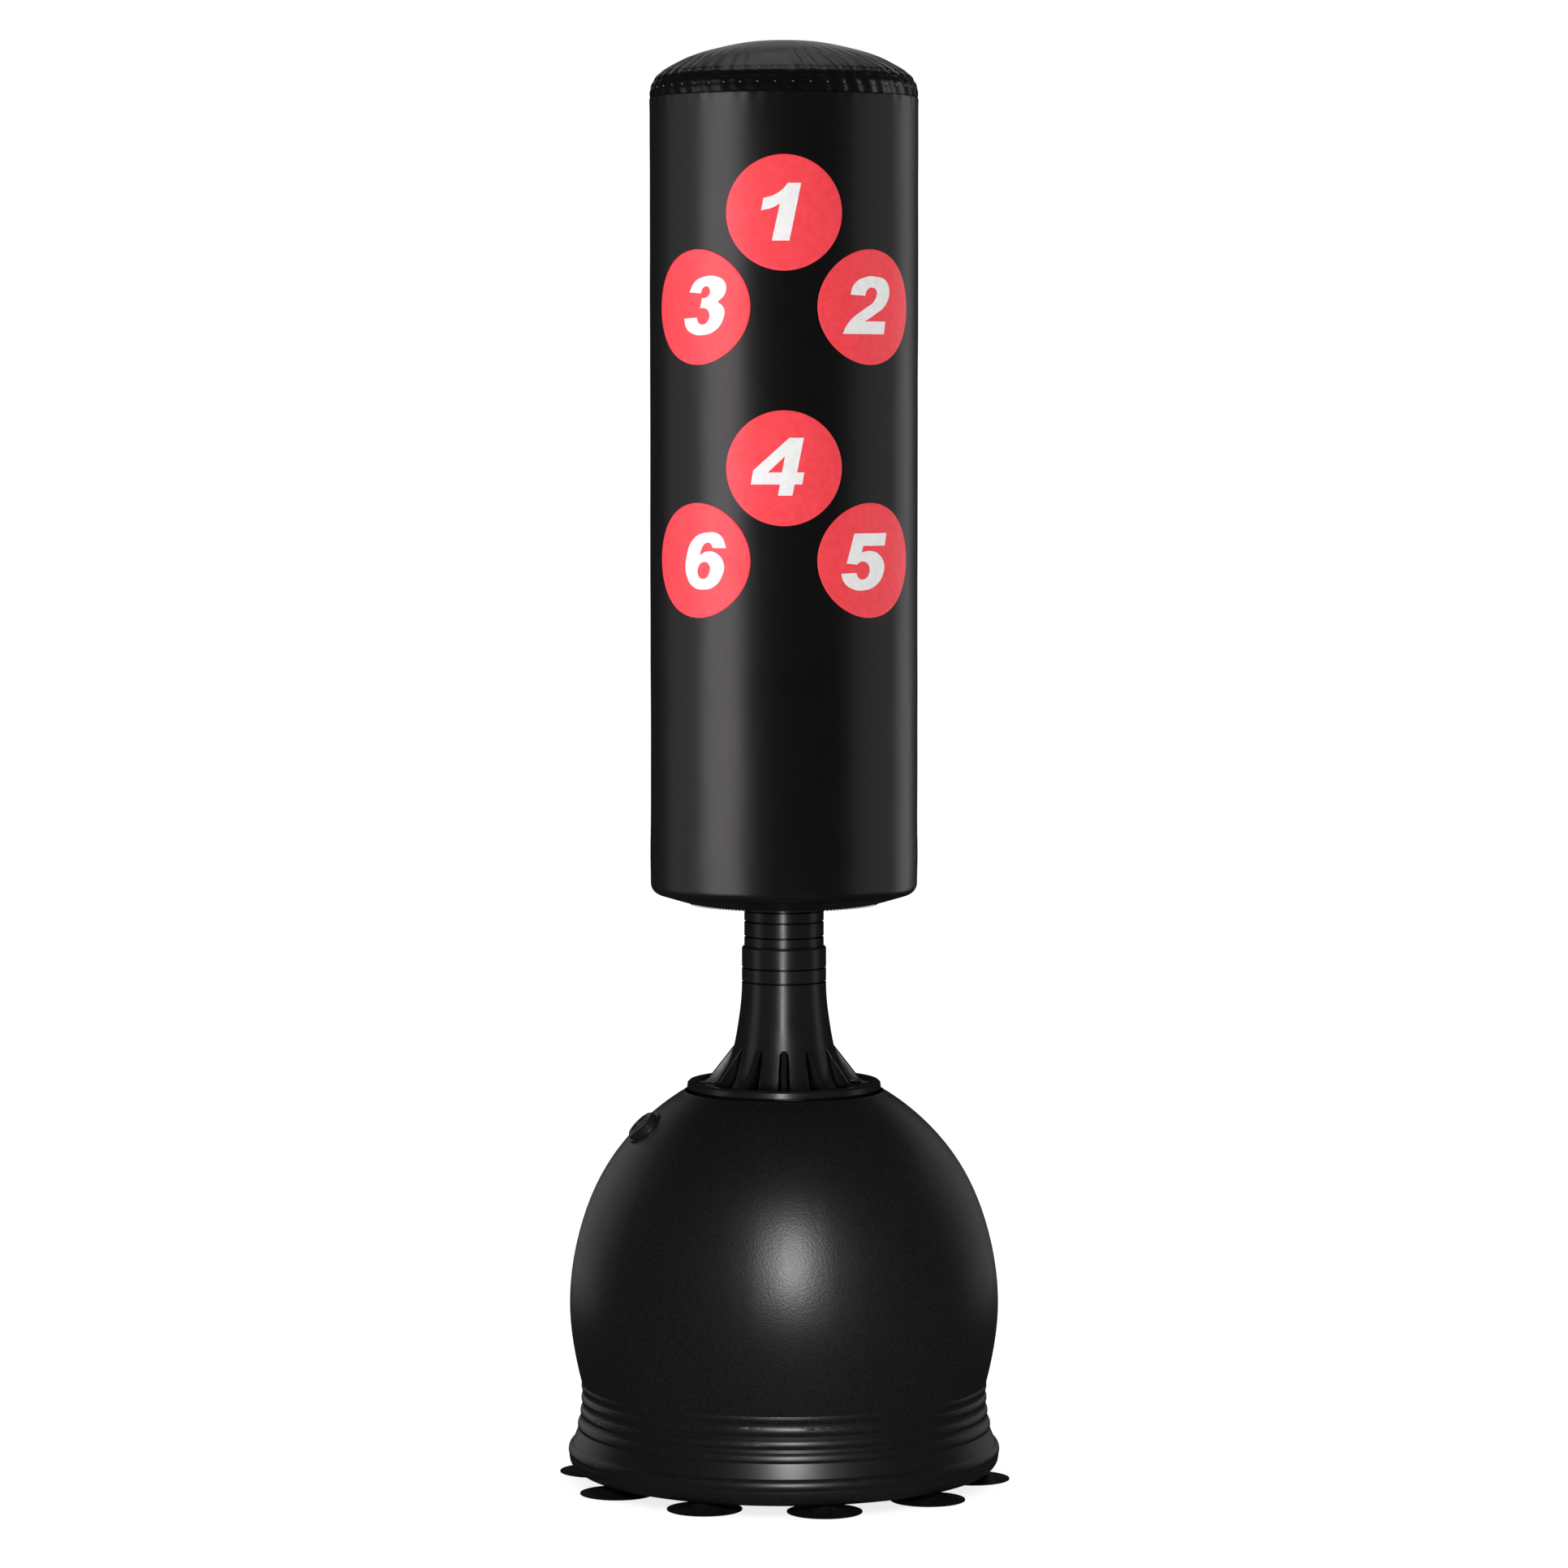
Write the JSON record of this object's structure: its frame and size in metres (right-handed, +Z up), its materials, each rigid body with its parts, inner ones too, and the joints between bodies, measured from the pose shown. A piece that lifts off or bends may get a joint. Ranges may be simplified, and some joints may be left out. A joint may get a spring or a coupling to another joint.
{
  "type": "free standing punching bag",
  "caption": "Free standing punching bag: padded cylinder with numbered round targets on a sprung ribbed neck, over a rounded ballast base on suction cups.",
  "frame": {"origin": "on the floor under the middle of the base, level with the lips of the suction cups", "axes": "+Z up the bag's axis, front with the targets towards -Y, +X to the right seen from the front"},
  "size_m": [0.5514, 0.5438, 1.75],
  "materials": {
    "base_plastic": "matte",
    "ballast_water": "gloss",
    "cup_rubber": "satin",
    "cap_plastic": "satin",
    "seal_rubber": "matte",
    "zinc_steel": "satin",
    "insert_brass": "satin",
    "spring_steel": "satin",
    "acetal": "satin",
    "neck_plastic": "satin",
    "tube_plastic": "satin",
    "foam_stiff": "matte",
    "foam_soft": "matte",
    "cover_leather": "satin",
    "target_red": "satin"
  },
  "bodies": {
    "base": {"base_shell": "base_plastic", "ballast": "ballast_water", "suction_cup_01": "cup_rubber", "suction_cup_02": "cup_rubber", "suction_cup_03": "cup_rubber", "suction_cup_04": "cup_rubber", "suction_cup_05": "cup_rubber", "suction_cup_06": "cup_rubber", "suction_cup_07": "cup_rubber", "suction_cup_08": "cup_rubber", "suction_cup_09": "cup_rubber", "suction_cup_10": "cup_rubber", "spring_seat_plate": "zinc_steel", "seat_plate_screws": "zinc_steel", "seat_plate_inserts": "insert_brass", "anchor_insert": "zinc_steel", "tie_bolt": "zinc_steel", "tie_washer": "zinc_steel", "thrust_ball": "zinc_steel", "spacer_sleeve": "zinc_steel", "buffer_ring": "seal_rubber", "spring_1": "spring_steel", "spring_2": "spring_steel", "spring_3": "spring_steel", "spring_4": "spring_steel"},
    "swivel": {"pivot_liner": "acetal"},
    "pillar": {"bearing_plate": "zinc_steel", "flange": "neck_plastic", "flange_bolts": "zinc_steel", "flange_washers": "zinc_steel", "flange_nuts": "zinc_steel", "lower_tube": "neck_plastic", "tube_coupler": "tube_plastic", "upper_tube": "tube_plastic", "tube_cap": "tube_plastic", "foam_core": "foam_stiff", "foam_outer": "foam_soft", "foam_top": "foam_stiff", "bag_cover": "cover_leather", "bag_top_cap": "cover_leather", "bag_bottom_panel": "cover_leather", "target_1": "target_red", "target_2": "target_red", "target_3": "target_red", "target_4": "target_red", "target_5": "target_red", "target_6": "target_red"},
    "filler_gasket": {"filler_seal": "seal_rubber"},
    "filler_lid": {"filler_cap": "cap_plastic"}
  },
  "joints": [
    {"name": "sway_side", "type": "hinge", "parent": "base", "child": "swivel", "pos_m": [0, 0, 0.48], "axis": [0, 1, 0], "range_deg": [-5, 5], "stiffness_Nm_per_rad": 900},
    {"name": "sway_fore", "type": "hinge", "parent": "swivel", "child": "pillar", "pos_m": [0, 0, 0.48], "axis": [1, 0, 0], "range_deg": [-5, 5], "stiffness_Nm_per_rad": 900, "deforming": ["spring_1", "spring_2", "spring_3", "spring_4"]},
    {"name": "cap_lift", "type": "slide", "parent": "base", "child": "filler_gasket", "axis": [-0.6786, -0.1755, 0.7133], "range_m": [0, 0.0125]},
    {"name": "cap_turn", "type": "hinge", "parent": "filler_gasket", "child": "filler_lid", "pos_m": [-0.16972, -0.04389, 0.4342], "axis": [-0.6786, -0.1755, 0.7133], "range_deg": [0, 720]}
  ],
  "couplings": [
    {"joint": "cap_lift", "follows": "cap_turn", "m_per_rad": 0.00095493}
  ]
}
